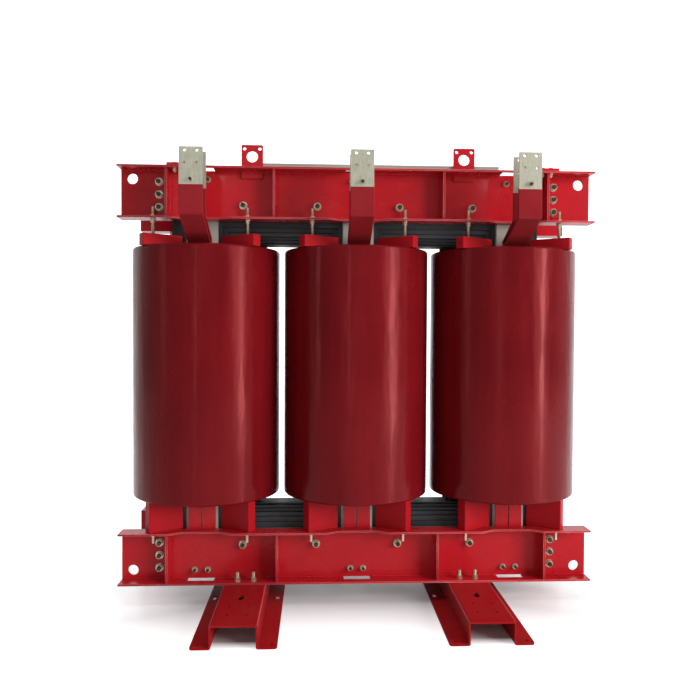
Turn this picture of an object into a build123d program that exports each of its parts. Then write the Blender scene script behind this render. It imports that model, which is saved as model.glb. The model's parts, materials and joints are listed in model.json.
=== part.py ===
"""Three-phase cast-resin dry type transformer, all pieces at real size.

Millimetres, +Z up, origin on the floor under the middle of the core.  X runs along the yokes from
phase A (negative) to phase C, the low-voltage terminals face -Y and the high-voltage side faces +Y.
The core stands on two hat-section base channels, clamp beams hold its yokes, and each limb carries a
low-voltage winding inside a cast-resin high-voltage winding.
"""
from build123d import *
import math
import os

# ---------------------------------------------------------------- driving dimensions
phases = {"a": -1, "b": 0, "c": 1}
sides = {"front": -1, "rear": 1}

# core: packets of sheets, widest in the middle
packet_widths = [335.0, 318.0, 296.0, 268.0, 232.0, 190.0, 140.0]
core_circle_radius = 175.0       # circle that the stepped limb fills
yoke_inset = 171.0               # from a clamp beam's outer face to its yoke's centre
limb_board_thickness = 4.0
limb_board_margin = 11.0         # beyond the tie plate's edge
board_gap = 4.0                  # between the limb boards and the yoke boards
tie_plate_thickness = 14.0
tie_plate_half_width = 65.0
tie_plate_split = 6.0            # slit between the two strips of a tie plate
tie_plate_end_margin = 20.0      # from the clamp beam's outer face to the tie plate's end

# base channels
base_height = 100.0
base_length = 1474.0
base_offset_x = 535.0
base_top_width = 200.0
base_foot_width = 358.0
base_sheet = 8.0
base_bend_radius = 10.0
base_corner_radius = 14.0
foot_hole_radius = 9.0
foot_hole_spacing_x = 304.0
foot_hole_spacing_y = 1410.0
foot_slot_length = 50.0
foot_slot_offset_y = 185.0
deck_slot_length = 56.0
deck_slot_width = 22.0
deck_slot_y = 432.0
deck_hole_radius = 7.0
deck_hole_spacing_x = 82.0
deck_hole_spacing_y = 96.0
deck_pattern_y = 582.0

# clamp beams, plates welded to a channel
beam_overhang = 210.5            # from the core's end to the beam's end
beam_height = 245.0
web_thickness = 12.0
flange_thickness = 8.0
flange_reach = 82.0              # from the web's outer face to the lip
recess_half_width = 92.0
recess_flare = 55.0
recess_depth = 34.0
end_rib_inset = 225.0            # from the beam's end to its first rib
lower_rib_offset = 366.0         # from an outer limb's axis to the rib inside it
upper_rib_offset = 348.0
rib_thickness = 8.0
rib_setback = 6.0                # from the lip to the rib's free edge
rib_clip = 16.0
haul_hole_radius = 25.0
haul_hole_inset = 53.0           # from the beam's end
haul_hole_edge = 50.0            # from the beam's outer face
flange_slot_length = 128.0
lower_slot_reach = 38.0          # from the web's outer face
upper_slot_reach = 62.0

# lifting lugs, welded to the web and passed through the top flange
lug_offset = 241.0               # from an outer limb's axis
lug_width = 102.0
lug_thickness = 12.0
lug_height = 116.0               # above the top flange
lug_tail = 42.0                  # below the top face of the flange
lug_eye_radius = 27.0
lug_eye_height = 61.0            # above the top flange
lug_small_hole_radius = 8.0
lug_small_hole_offset = 36.0
lug_small_hole_drop = 18.0
lug_weld_gap = 0.5

# windings
coil_length = 1210.0
coil_gap = 26.0                  # between neighbouring high-voltage windings
lv_core_gap = 23.0               # from the core's circle to the low-voltage winding
lv_build = 64.0                  # thickness of a winding's wall
lv_barrier_gap = 18.0
lv_edge_radius = 5.0
barrier_thickness = 3.0
hv_barrier_gap = 17.0
hv_build = 62.0
hv_edge_radius = 9.0

# support blocks under the windings and pressure blocks on top
block_thickness = 50.0
block_angle = 34.0               # in plan, from the X axis
block_core_gap = 3.0             # from the core's face to the blocks' inner ends
support_block_overhang = 30.0    # from the screw to the block's outer end
pressure_block_overhang = 58.0
block_chamfer = 3.0
screw_offset = 222.0             # along X and Y from the winding's axis
support_block_height = 147.0
pressure_block_height = 54.0
press_gap = 70.0                 # from the pressure blocks to the upper beams

# low-voltage bars
bar_width = 103.0
bar_thickness = 10.0
bar_front_y = 480.0
bar_rear_y = 392.0
bar_root_front_y = 250.0
bar_root_rear_y = 212.0
bar_root_front_height = 14.0     # straight stretch above the winding
bar_root_rear_height = 34.0
bar_slope = 23.0                 # degrees above horizontal
bar_bend_radius = 16.0
bar_rise = 31.0                  # above the upper beams
pad_hole_radius = 7.0
pad_spacing_x = 53.0
pad_spacing_z = 55.0
pad_edge = 15.0
bar_tie_drop = 143.0             # from the bar's top to the tie stud

# duct and braces on top
duct_start = 230.0               # from phase A's axis
duct_end = 68.0                  # short of phase C's axis
duct_width = 36.0
duct_height = 34.0
duct_cover = 3.0
duct_cover_lip = 1.5
duct_setback = 1.0               # behind the web's outer face
left_brace_offset = 99.0         # from an outer limb's axis
right_brace_offset = 153.0
brace_width = 100.0
brace_thickness = 12.0
brace_bolt_spacing = 40.0

# fasteners: thread radius, across flats, nut height, washer radius, washer thickness
m20 = {"r": 10.0, "flats": 30.0, "nut": 16.0, "washer": 19.0, "plate": 4.0}
m16 = {"r": 8.0, "flats": 24.0, "nut": 13.0, "washer": 15.0, "plate": 3.0}
m14 = {"r": 7.0, "flats": 22.0, "nut": 12.0, "washer": 14.0, "plate": 3.0}
m12 = {"r": 6.0, "flats": 18.0, "nut": 10.0, "washer": 12.0, "plate": 2.5}
hole_clearance = 1.0             # on the radius, round every bolt
thread_tail = 10.0               # thread beyond a nut
end_bolt_gap = 31.5              # from the core's end to the bolts' axes
end_bolt_edge = 64.0             # from the beam's outer face to the first end bolt
end_bolt_pitch = 60.0
window_bolt_offset = 198.0       # from a limb's axis to the bolt through the yoke
tie_bolt_offset = 31.0
tie_bolt_edge = 50.0
foot_bolt_offset = 38.0
foot_bolt_y = 235.0
screw_tail = 50.0                # above the upper beams' inner flange
foot_bolt_tail = 26.0
block_bolt_tail = 56.0           # below the lower beam's top face
block_bolt_seat = 40.0
screw_seat = 20.0

# high-voltage side
tap_boss_width = 170.0
tap_boss_height = 560.0
tap_boss_reach = 26.0            # beyond the winding's surface
tap_boss_radius = 20.0
tap_spacing_x = 84.0
tap_pitch_z = 150.0
terminal_boss_radius = 38.0
terminal_boss_reach = 34.0
terminal_inset = 80.0            # from the winding's end to the terminal
boss_root = 27.0                 # how deep the bosses start inside the winding's wall
link_radius = 10.0
link_eye_radius = 20.0
link_eye_thickness = 8.0
link_near_gap = 16.0             # from the terminal boss to the near links
link_far_gap = 50.0
link_drop_near = 157.0           # from the winding's lower end to the near links' cross run
link_drop_far = 202.0
link_riser_offset = 190.0        # from a winding's axis to the riser beside its tap boss
link_bend = 45.0
tap_link_width = 24.0
tap_link_thickness = 4.0

# ---------------------------------------------------------------- derived places
lv_inner_radius = core_circle_radius + lv_core_gap
lv_outer_radius = lv_inner_radius + lv_build
barrier_outer_radius = lv_outer_radius + lv_barrier_gap + barrier_thickness
hv_inner_radius = barrier_outer_radius + hv_barrier_gap
hv_outer_radius = hv_inner_radius + hv_build
phase_pitch = 2 * hv_outer_radius + coil_gap
core_half_depth = math.sqrt(core_circle_radius**2 - (packet_widths[-1] / 2) ** 2)
web_inner = core_half_depth + limb_board_thickness + tie_plate_thickness
web_outer = web_inner + web_thickness
lip = web_outer + flange_reach
core_end = phase_pitch + packet_widths[0] / 2
beam_half = core_end + beam_overhang
beam_low = base_height
beam_low_top = beam_low + beam_height
coil_low = beam_low_top + support_block_height
coil_high = coil_low + coil_length
beam_top_height = coil_high + pressure_block_height + press_gap
beam_high_top = beam_top_height + beam_height
yoke_centre_low = beam_low + yoke_inset
yoke_centre_high = beam_high_top - yoke_inset
bar_top = beam_high_top + bar_rise
screw_top = beam_top_height + flange_thickness + screw_tail
end_bolt_x = core_end + end_bolt_gap
limb_board_half = tie_plate_half_width + limb_board_margin
lug_x = phase_pitch - lug_offset
brace_xs = {"left": -phase_pitch - left_brace_offset, "right": phase_pitch + right_brace_offset}
base_half_top = base_top_width / 2
base_half_foot = base_foot_width / 2
boss_face = hv_outer_radius + tap_boss_reach
terminal_face = hv_outer_radius + terminal_boss_reach


def phase_x(name):
    return phases[name] * phase_pitch


def solids_of(shape):
    """Every solid in a shape, as a flat list."""
    return list(shape.solids())


def group(shapes):
    """Several separate solids as one compound."""
    return Compound(children=[solid for shape in shapes for solid in solids_of(shape)])


def block(x0, x1, y0, y1, z0, z1):
    """Axis-aligned box from its limits."""
    centre = Pos((x0 + x1) / 2, (y0 + y1) / 2, (z0 + z1) / 2)
    return centre * Box(abs(x1 - x0), abs(y1 - y0), abs(z1 - z0))


def rod_y(x, z, radius, y0, y1):
    """Round rod along Y between two limits."""
    return Pos(x, (y0 + y1) / 2, z) * Rot(90, 0, 0) * Cylinder(radius, abs(y1 - y0))


def rod_z(x, y, radius, z0, z1):
    """Round rod along Z between two limits."""
    return Pos(x, y, (z0 + z1) / 2) * Cylinder(radius, abs(z1 - z0))


def hexagon(size, height):
    """Hexagon nut or head along +Z from the origin, its corners turned off at both ends."""
    prism = extrude(RegularPolygon(size["flats"] / 2, 6, major_radius=False), height)
    corner = size["flats"] / 2 / math.cos(math.radians(30))
    turned = Pos(0, 0, height / 2) * Cylinder(corner, height)
    turned = chamfer(turned.edges(), (corner - size["flats"] / 2) * 0.75)
    return prism & turned


def nut_y(size, x, z, y, direction):
    """Washer and nut on a rod along Y, seated on the plane y and stacked in the direction given."""
    washer = rod_y(x, z, size["washer"], y, y + direction * size["plate"])
    turn = Rot(-90, 0, 0) if direction > 0 else Rot(90, 0, 0)
    seat = y + direction * size["plate"]
    return washer + Pos(x, seat, z) * turn * hexagon(size, size["nut"])


def nut_z(size, x, y, z, direction, washer=True):
    """Washer and nut on a rod along Z, seated on the plane z and stacked in the direction given."""
    plate = size["plate"] if washer else 0.0
    base = z + direction * plate if direction > 0 else z + direction * (plate + size["nut"])
    nut = Pos(x, y, base) * hexagon(size, size["nut"])
    if washer:
        nut = nut + rod_z(x, y, size["washer"], z, z + direction * plate)
    return nut


def through_bolt_y(size, x, z, y_seat):
    """Threaded rod along Y from front to rear, with a washer and nut seated at +-y_seat."""
    end = y_seat + size["plate"] + size["nut"] + thread_tail
    rod = rod_y(x, z, size["r"], -end, end)
    return rod + nut_y(size, x, z, y_seat, 1) + nut_y(size, x, z, -y_seat, -1)


# ---------------------------------------------------------------- base channels
def base_channel():
    """Hat section folded from one sheet: deck, two walls and two feet, with its holes."""
    half = base_half_top
    wall = half - base_sheet
    outline = [
        (-base_half_foot, 0), (-wall, 0), (-wall, base_height - base_sheet),
        (wall, base_height - base_sheet), (wall, 0), (base_half_foot, 0),
        (base_half_foot, base_sheet), (half, base_sheet), (half, base_height),
        (-half, base_height), (-half, base_sheet), (-base_half_foot, base_sheet),
    ]
    section = make_face(Polyline(*outline, close=True))
    outer = [v for v in section.vertices()
             if (abs(abs(v.X) - half) < 0.01 and v.Y > base_height - 1)
             or (abs(abs(v.X) - wall) < 0.01 and v.Y < 1)]
    section = fillet(outer, base_bend_radius)
    inner = [v for v in section.vertices()
             if (abs(abs(v.X) - wall) < 0.01 and abs(v.Y - base_height + base_sheet) < 0.01)
             or (abs(abs(v.X) - half) < 0.01 and abs(v.Y - base_sheet) < 0.01)]
    section = fillet(inner, base_bend_radius - base_sheet)
    channel = extrude(Plane.XZ * section, base_length / 2, both=True)
    corners = [e for e in channel.edges().filter_by(Axis.Z)
               if abs(abs(e.center().X) - base_half_foot) < 0.1]
    channel = fillet(corners, base_corner_radius)

    cuts = []
    for sx in (-1, 1):
        foot_x = sx * foot_hole_spacing_x / 2
        for sy in (-1, 1):
            cuts.append(rod_z(foot_x, sy * foot_hole_spacing_y / 2, foot_hole_radius, -1, base_sheet + 1))
            slot = SlotOverall(foot_slot_length, 2 * foot_hole_radius, rotation=90)
            cuts.append(Pos(foot_x, sy * foot_slot_offset_y, -1) * extrude(slot, base_sheet + 2))
            for step in (-0.5, 0.5):
                y = sy * deck_pattern_y + step * deck_hole_spacing_y
                cuts.append(rod_z(sx * deck_hole_spacing_x / 2, y, deck_hole_radius,
                                  base_height - base_sheet - 1, base_height + 1))
            cuts.append(rod_z(sx * foot_bolt_offset, sy * foot_bolt_y, m16["r"] + hole_clearance,
                              base_height - base_sheet - 1, base_height + 1))
    for sy in (-1, 1):
        slot = SlotOverall(deck_slot_length, deck_slot_width, rotation=90)
        cuts.append(Pos(0, sy * deck_slot_y, base_height - base_sheet - 1) * extrude(slot, base_sheet + 2))
    return channel - cuts


# ---------------------------------------------------------------- clamp beams
def rib():
    """Stiffening plate between web and lip, its inner corners clipped for the welds."""
    depth = flange_reach - rib_setback
    height = beam_height - 2 * flange_thickness
    points = [
        (0, rib_clip), (rib_clip, 0), (depth, 0),
        (depth, height), (rib_clip, height), (0, height - rib_clip),
    ]
    face = make_face(Polyline(*points, close=True))
    return extrude(Plane.YZ * face, rib_thickness / 2, both=True)


def inner_flange():
    """Flange that faces the windings: its lip is cut back in front of each limb."""
    reach = lip - web_inner
    points = [(-beam_half, 0), (-beam_half, reach)]
    for name in phases:
        x = phase_x(name)
        points += [
            (x - recess_half_width - recess_flare, reach),
            (x - recess_half_width, reach - recess_depth),
            (x + recess_half_width, reach - recess_depth),
            (x + recess_half_width + recess_flare, reach),
        ]
    points += [(beam_half, reach), (beam_half, 0)]
    return extrude(make_face(Polyline(*points, close=True)), flange_thickness)


def clamp_beam(rib_offset, slot_reach):
    """Lower clamp beam, on the +Y side, from z = 0 up: web, outer flange below and inner flange above.

    A slot over each tie plate's end runs through the outer flange and under the web.
    """
    beam = block(-beam_half, beam_half, web_inner, web_outer, 0, beam_height)
    beam += block(-beam_half, beam_half, web_inner, lip, 0, flange_thickness)
    beam += Pos(0, web_inner, beam_height - flange_thickness) * inner_flange()
    for x in (beam_half - end_rib_inset, phase_pitch - rib_offset):
        for sx in (-1, 1):
            beam += Pos(sx * x, web_outer, flange_thickness) * rib()

    cuts = []
    for sx in (-1, 1):
        haul_x = sx * (beam_half - haul_hole_inset)
        cuts.append(rod_y(haul_x, haul_hole_edge, haul_hole_radius, web_inner - 1, web_outer + 1))
        for row in range(3):
            z = end_bolt_edge + row * end_bolt_pitch
            cuts.append(rod_y(sx * end_bolt_x, z, m20["r"] + hole_clearance, web_inner - 1, web_outer + 1))
    for name in phases:
        x = phase_x(name)
        cuts.append(block(x - flange_slot_length / 2, x + flange_slot_length / 2,
                          web_inner - 1, web_outer + slot_reach, -1, flange_thickness))
        for s in (-1, 1):
            cuts.append(rod_y(x + s * tie_bolt_offset, tie_bolt_edge, m14["r"] + hole_clearance,
                              web_inner - 1, web_outer + 1))
            cuts.append(rod_z(x + s * screw_offset, screw_offset, m14["r"] + hole_clearance,
                              beam_height - flange_thickness - 1, beam_height + 1))
    return beam - cuts


def window_bolt_xs():
    """Places along X of the bolts that pass through the yokes, two in each core window."""
    xs = []
    for left in ("a", "b"):
        xs += [phase_x(left) + window_bolt_offset, phase_x(left) + phase_pitch - window_bolt_offset]
    return xs


def yoke_bolt_cuts(z, y0, y1):
    """Round holes for the bolts through the yokes."""
    return [rod_y(x, z, m20["r"] + hole_clearance, y0, y1) for x in window_bolt_xs()]


def lower_beam():
    """Lower beam on the +Y side, in place, with the holes for its foot bolts."""
    beam = Pos(0, 0, beam_low) * clamp_beam(lower_rib_offset, lower_slot_reach)
    cuts = yoke_bolt_cuts(yoke_centre_low, web_inner - 1, web_outer + 1)
    for sx in (-1, 1):
        for s in (-1, 1):
            cuts.append(rod_z(sx * base_offset_x + s * foot_bolt_offset, foot_bolt_y,
                              m16["r"] + hole_clearance, beam_low - 1, beam_low + flange_thickness + 1))
    return beam - cuts


def upper_beam():
    """Upper beam on the +Y side: the lower one turned over, with slots for the lugs and brace holes."""
    beam = Pos(0, 0, beam_high_top) * mirror(clamp_beam(upper_rib_offset, upper_slot_reach), Plane.XY)
    cuts = yoke_bolt_cuts(yoke_centre_high, web_inner - 1, web_outer + 1)
    top0, top1 = beam_high_top - flange_thickness - 1, beam_high_top + 1
    for sx in (-1, 1):
        half = lug_width / 2 + lug_weld_gap
        cuts.append(block(sx * lug_x - half, sx * lug_x + half, web_outer,
                          web_outer + lug_thickness + lug_weld_gap, top0, top1))
    for brace_x in brace_xs.values():
        for x, y in brace_bolt_places():
            cuts.append(rod_z(brace_x + x, y, m12["r"] + hole_clearance, top0, top1))
    return beam - cuts


def lifting_lug():
    """Lug plate on the +Y side, centred on x = 0: one large eye and two small holes above the flange."""
    low = beam_high_top - lug_tail
    high = beam_high_top + lug_height
    plate = block(-lug_width / 2, lug_width / 2, web_outer, web_outer + lug_thickness, low, high)
    top_corners = [e for e in plate.edges().filter_by(Axis.Y) if e.center().Z > high - 1]
    plate = fillet(top_corners, 6)
    y0, y1 = web_outer - 1, web_outer + lug_thickness + 1
    cuts = [rod_y(0, beam_high_top + lug_eye_height, lug_eye_radius, y0, y1)]
    for s in (-1, 1):
        cuts.append(rod_y(s * lug_small_hole_offset, high - lug_small_hole_drop,
                          lug_small_hole_radius, y0, y1))
    return plate - cuts


# ---------------------------------------------------------------- core
def packets():
    """Each layer of sheets as its width and its limits in Y, from the middle out to both faces."""
    layers = []
    inner = 0.0
    for width in packet_widths:
        outer = math.sqrt(core_circle_radius**2 - (width / 2) ** 2)
        if inner:
            layers.append((width, -outer, -inner))
            layers.append((width, inner, outer))
        else:
            layers.append((width, -outer, outer))
        inner = outer
    return layers


def yoke(centre):
    """Stepped yoke, as long as the three limbs need."""
    pieces = []
    for width, y0, y1 in packets():
        reach = phase_pitch + width / 2
        pieces.append(block(-reach, reach, y0, y1, centre - width / 2, centre + width / 2))
    end = core_half_depth + 1
    return pieces[0] + pieces[1:] - yoke_bolt_cuts(centre, -end, end)


def core_lower():
    """Lower yoke and the three stepped limbs, each layer as high as its joint with the upper yoke."""
    limbs = []
    for width, y0, y1 in packets():
        for name in phases:
            x = phase_x(name)
            limbs.append(block(x - width / 2, x + width / 2, y0, y1,
                               yoke_centre_low, yoke_centre_high - width / 2))
    return yoke(yoke_centre_low) + limbs


def tie_plates(side):
    """Slit tie plates down the outside of each limb, hooked between the two beams by bolts."""
    y0 = core_half_depth + limb_board_thickness
    low = beam_low + tie_plate_end_margin
    high = beam_high_top - tie_plate_end_margin
    plates = []
    for name in phases:
        x = phase_x(name)
        for s in (-1, 1):
            strip = block(x + s * tie_plate_split / 2, x + s * tie_plate_half_width,
                          side * y0, side * web_inner, low, high)
            for z in (beam_low + tie_bolt_edge, beam_high_top - tie_bolt_edge):
                strip -= rod_y(x + s * tie_bolt_offset, z, m14["r"] + hole_clearance,
                               side * (y0 - 1), side * (web_inner + 1))
            plates.append(strip)
    return group(plates)


def limb_boards():
    """Insulating boards between the limbs and their tie plates."""
    low = yoke_centre_low - packet_widths[-1] / 2
    high = yoke_centre_high + packet_widths[-1] / 2
    boards = []
    for side in sides.values():
        for name in phases:
            x = phase_x(name)
            boards.append(block(x - limb_board_half, x + limb_board_half, side * core_half_depth,
                                side * (core_half_depth + limb_board_thickness), low, high))
    return group(boards)


def yoke_boards():
    """Insulating packing between the yokes and the beam webs, in the windows between the limbs."""
    half = packet_widths[-1] / 2
    boards = []
    for side in sides.values():
        for centre in (yoke_centre_low, yoke_centre_high):
            for left in ("a", "b"):
                x0 = phase_x(left) + limb_board_half + board_gap
                x1 = phase_x(left) + phase_pitch - limb_board_half - board_gap
                board = block(x0, x1, side * core_half_depth, side * web_inner, centre - half, centre + half)
                for x in (phase_x(left) + window_bolt_offset,
                          phase_x(left) + phase_pitch - window_bolt_offset):
                    board -= rod_y(x, centre, m20["r"] + hole_clearance,
                                   side * (core_half_depth - 1), side * (web_inner + 1))
                boards.append(board)
    return group(boards)


# ---------------------------------------------------------------- windings
def tube(outer, inner, low, high, edge=0.0):
    """Upright tube whose four rims are rounded by edge."""
    ring = Pos(0, 0, (low + high) / 2) * (Cylinder(outer, high - low) - Cylinder(inner, high - low))
    if edge:
        ring = fillet(ring.edges().filter_by(GeomType.CIRCLE), edge)
    return ring


def tap_places():
    """X and Z of the tap studs, from the middle of the tap boss."""
    rows = (-1, 0, 1)
    return [(s * tap_spacing_x / 2, row * tap_pitch_z) for s in (-1, 1) for row in rows]


def terminal_heights():
    return {"low": coil_low + terminal_inset, "high": coil_high - terminal_inset}


def hv_winding():
    """Cast-resin high-voltage winding on the Z axis, with a tap boss and two terminal bosses at +Y."""
    body = tube(hv_outer_radius, hv_inner_radius, coil_low, coil_high, hv_edge_radius)
    root = hv_outer_radius - boss_root
    middle = (coil_low + coil_high) / 2
    panel = block(-tap_boss_width / 2, tap_boss_width / 2, root, boss_face,
                  middle - tap_boss_height / 2, middle + tap_boss_height / 2)
    panel = fillet(panel.edges().filter_by(Axis.Y), tap_boss_radius)
    face_edges = [e for e in panel.edges() if e.center().Y > boss_face - 0.1]
    body += chamfer(face_edges, 5)
    for z in terminal_heights().values():
        boss = rod_y(0, z, terminal_boss_radius, root, terminal_face)
        rim = [e for e in boss.edges().filter_by(GeomType.CIRCLE) if e.center().Y > terminal_face - 0.1]
        body += chamfer(rim, 4)
    cuts = []
    for x, z in tap_places():
        cuts.append(rod_y(x, middle + z, m12["r"], boss_face - 12, boss_face + 1))
    for z in terminal_heights().values():
        cuts.append(rod_y(0, z, m16["r"], terminal_face - 16, terminal_face + 1))
    return body - cuts


def lv_winding():
    return tube(lv_outer_radius, lv_inner_radius, coil_low, coil_high, lv_edge_radius)


def barrier():
    return tube(barrier_outer_radius, barrier_outer_radius - barrier_thickness, coil_low, coil_high)


# ---------------------------------------------------------------- blocks and their screws
def block_plan(overhang):
    """Plan of the block at +X +Y: a slanting strip through the screw, cut along X at its inner end."""
    along = Vector(math.cos(math.radians(block_angle)), math.sin(math.radians(block_angle)))
    across = Vector(-along.Y, along.X) * (block_thickness / 2)
    outer = Vector(screw_offset, screw_offset) + along * overhang
    inner_y = core_half_depth + block_core_gap
    corners = [outer + across, outer - across]
    for corner in (outer - across, outer + across):
        corners.append(corner + along * ((inner_y - corner.Y) / along.Y))
    return make_face(Polyline(*corners, close=True))


def blocks(overhang, low, high, seat_low, seat_high):
    """Four blocks round a winding's axis, each with a blind hole for its screw."""
    body = Pos(0, 0, low) * extrude(block_plan(overhang), high - low)
    upright = [e for e in body.edges().filter_by(Axis.Z)]
    body = chamfer(upright, block_chamfer)
    body -= rod_z(screw_offset, screw_offset, m14["r"], seat_low, seat_high)
    turned = mirror(body, Plane.YZ)
    return [body, turned, mirror(body, Plane.XZ), mirror(turned, Plane.XZ)]


def support_blocks():
    return blocks(support_block_overhang, beam_low_top, coil_low,
                  beam_low_top - 1, beam_low_top + block_bolt_seat)


def pressure_blocks():
    top = coil_high + pressure_block_height
    return blocks(pressure_block_overhang, coil_high, top, top - screw_seat, top + 1)


def four_corners(x):
    """The four screw places round a winding's axis."""
    return [(x + sx * screw_offset, sy * screw_offset) for sx in (-1, 1) for sy in (-1, 1)]


def pressure_screws(x0):
    """Threaded rods from the pressure blocks up through the upper beams, locked by two nuts each."""
    seat = coil_high + pressure_block_height - screw_seat
    screws = []
    for x, y in four_corners(x0):
        rod = rod_z(x, y, m14["r"], seat, screw_top)
        rod += nut_z(m14, x, y, beam_top_height, -1)
        rod += nut_z(m14, x, y, beam_top_height + flange_thickness, 1)
        screws.append(rod)
    return group(screws)


def block_bolts():
    """Short studs that fix the support blocks to the lower beams, nutted under the flange."""
    bolts = []
    for name in phases:
        for x, y in four_corners(phase_x(name)):
            rod = rod_z(x, y, m14["r"], beam_low_top - block_bolt_tail, beam_low_top + block_bolt_seat)
            rod += nut_z(m14, x, y, beam_low_top - flange_thickness, -1)
            bolts.append(rod)
    return group(bolts)


# ---------------------------------------------------------------- low-voltage bars
def lv_bar(root_y, root_height, top_y):
    """Flat bar: up from the winding, out along a slope, then straight up to its drilled pad."""
    slope_z = (top_y - root_y) * math.tan(math.radians(bar_slope))
    knee = coil_high + root_height
    path = Polyline((-root_y, coil_high), (-root_y, knee), (-top_y, knee + slope_z), (-top_y, bar_top))
    half = bar_thickness / 2
    turn_low = math.tan(math.radians((90 - bar_slope) / 2)) * half
    outline = [
        (-root_y - half, coil_high), (-root_y + half, coil_high), (-root_y + half, knee + turn_low),
        (-top_y + half, knee + slope_z + turn_low), (-top_y + half, bar_top), (-top_y - half, bar_top),
        (-top_y - half, knee + slope_z - turn_low), (-root_y - half, knee - turn_low),
    ]
    face = make_face(Polyline(*outline, close=True))
    bar = extrude(Plane.YZ * face, bar_width / 2, both=True)
    bends = [e for e in bar.edges().filter_by(Axis.X)
             if coil_high + 1 < e.center().Z < bar_top - 1]
    outer = [e for e in bends if e.center().Y < -top_y - half + 1 or e.center().Y > -root_y + half - 1]
    bar = fillet(outer, bar_bend_radius)
    y0, y1 = -top_y - bar_thickness, -top_y + bar_thickness
    cuts = [rod_y(0, bar_top - bar_tie_drop, m12["r"] + hole_clearance, y0, y1)]
    for sx in (-0.5, 0.5):
        for row in (0, 1):
            z = bar_top - pad_edge - row * pad_spacing_z
            cuts.append(rod_y(sx * pad_spacing_x, z, pad_hole_radius, y0, y1))
    return bar - cuts


def bar_ties():
    """Studs with spacer tubes that hold each pair of bars apart."""
    half = bar_thickness / 2
    z = bar_top - bar_tie_drop
    ties = []
    for name in phases:
        x = phase_x(name)
        front = -bar_front_y - half
        rear = -bar_rear_y + half
        end = m12["plate"] + m12["nut"] + thread_tail
        tie = rod_y(x, z, m12["r"], front - end, rear + end)
        tie += rod_y(x, z, m12["washer"], -bar_front_y + half, -bar_rear_y - half)
        tie += nut_y(m12, x, z, front, -1) + nut_y(m12, x, z, rear, 1)
        ties.append(tie)
    return group(ties)


# ---------------------------------------------------------------- bolts through the frame
def window_bolts(z):
    return group([through_bolt_y(m20, x, z, web_outer) for x in window_bolt_xs()])


def end_bolts(z_edge, direction):
    """Three bolts in a column at each end, outside the core."""
    bolts = []
    for sx in (-1, 1):
        for row in range(3):
            z = z_edge + direction * (end_bolt_edge + row * end_bolt_pitch)
            bolts.append(through_bolt_y(m20, sx * end_bolt_x, z, web_outer))
    return group(bolts)


def tie_plate_bolts(side):
    """Short bolts that fix the tie plates' ends to the beam webs, in pairs."""
    inner = core_half_depth + limb_board_thickness
    bolts = []
    for name in phases:
        for s in (-1, 1):
            for z in (beam_low + tie_bolt_edge, beam_high_top - tie_bolt_edge):
                x = phase_x(name) + s * tie_bolt_offset
                end = web_outer + m14["plate"] + m14["nut"] + thread_tail
                bolt = rod_y(x, z, m14["r"], side * inner, side * end)
                bolts.append(bolt + nut_y(m14, x, z, side * web_outer, side))
    return group(bolts)


def foot_bolts():
    """Bolts that hold the lower beams down on the base channels, nuts on top."""
    bolts = []
    for sx in (-1, 1):
        for s in (-1, 1):
            for sy in (-1, 1):
                x, y = sx * base_offset_x + s * foot_bolt_offset, sy * foot_bolt_y
                top = beam_low + flange_thickness
                tail = top + m16["plate"] + m16["nut"] + foot_bolt_tail
                bolt = rod_z(x, y, m16["r"], base_height - base_sheet, tail)
                bolt += nut_z(m16, x, y, top, 1)
                bolt += nut_z(m16, x, y, base_height - base_sheet, -1, washer=False)
                bolts.append(bolt)
    return group(bolts)


# ---------------------------------------------------------------- pieces on top of the upper beams
def top_strip():
    """Wiring duct on the front upper beam's web, behind the lugs: a trunk and its snap-on cover."""
    front = -web_outer + duct_setback
    x0, x1 = -phase_pitch + duct_start, phase_pitch - duct_end
    trunk_top = beam_high_top + duct_height - duct_cover
    trunk = block(x0, x1, front + duct_cover_lip, front + duct_width - duct_cover_lip,
                  beam_high_top, trunk_top)
    cover = block(x0 - duct_cover_lip, x1 + duct_cover_lip, front, front + duct_width,
                  trunk_top - duct_cover, beam_high_top + duct_height)
    return trunk + cover


def brace_bolt_places():
    return [(s * brace_bolt_spacing / 2, sy * foot_bolt_y) for s in (-1, 1) for sy in (-1, 1)]


def cross_brace():
    """Flat brace over the upper yoke that ties the two upper beams, centred on x = 0."""
    top = beam_high_top + brace_thickness
    brace = block(-brace_width / 2, brace_width / 2, -lip, lip, beam_high_top, top)
    cuts = []
    for x, y in brace_bolt_places():
        cuts.append(rod_z(x, y, m12["r"] + hole_clearance, beam_high_top - 1, top + 1))
    return brace - cuts


def brace_bolts():
    """Bolts through the braces and the upper beams' top flanges, heads on top and nuts below."""
    low = beam_high_top - flange_thickness
    top = beam_high_top + brace_thickness
    tail = low - m12["plate"] - m12["nut"] - thread_tail / 2
    bolts = []
    for brace_x in brace_xs.values():
        for x, y in brace_bolt_places():
            bolt = rod_z(brace_x + x, y, m12["r"], tail, top) + nut_z(m12, brace_x + x, y, low, -1)
            bolts.append(bolt + nut_z(m12, brace_x + x, y, top, 1, washer=False))
    return group(bolts)


# ---------------------------------------------------------------- high-voltage side
def eye(x, z, plane_y):
    """Flattened eye at the end of a link."""
    half = link_eye_thickness / 2
    ring = rod_y(x, z, link_eye_radius, plane_y - half, plane_y + half)
    return ring


def link_hole(x, z, plane_y):
    return rod_y(x, z, m16["r"], plane_y - link_radius - 1, plane_y + link_radius + 1)


def trimmed(link, ends, plane_y):
    """Links thinned to their eyes round the terminal studs, and drilled for them."""
    half = link_eye_thickness / 2
    for x, z in ends:
        for direction in (-1, 1):
            y0 = plane_y + direction * half
            link -= rod_y(x, z, link_eye_radius, y0, y0 + direction * link_radius)
        link += eye(x, z, plane_y)
        link -= link_hole(x, z, plane_y)
    return link


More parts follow.
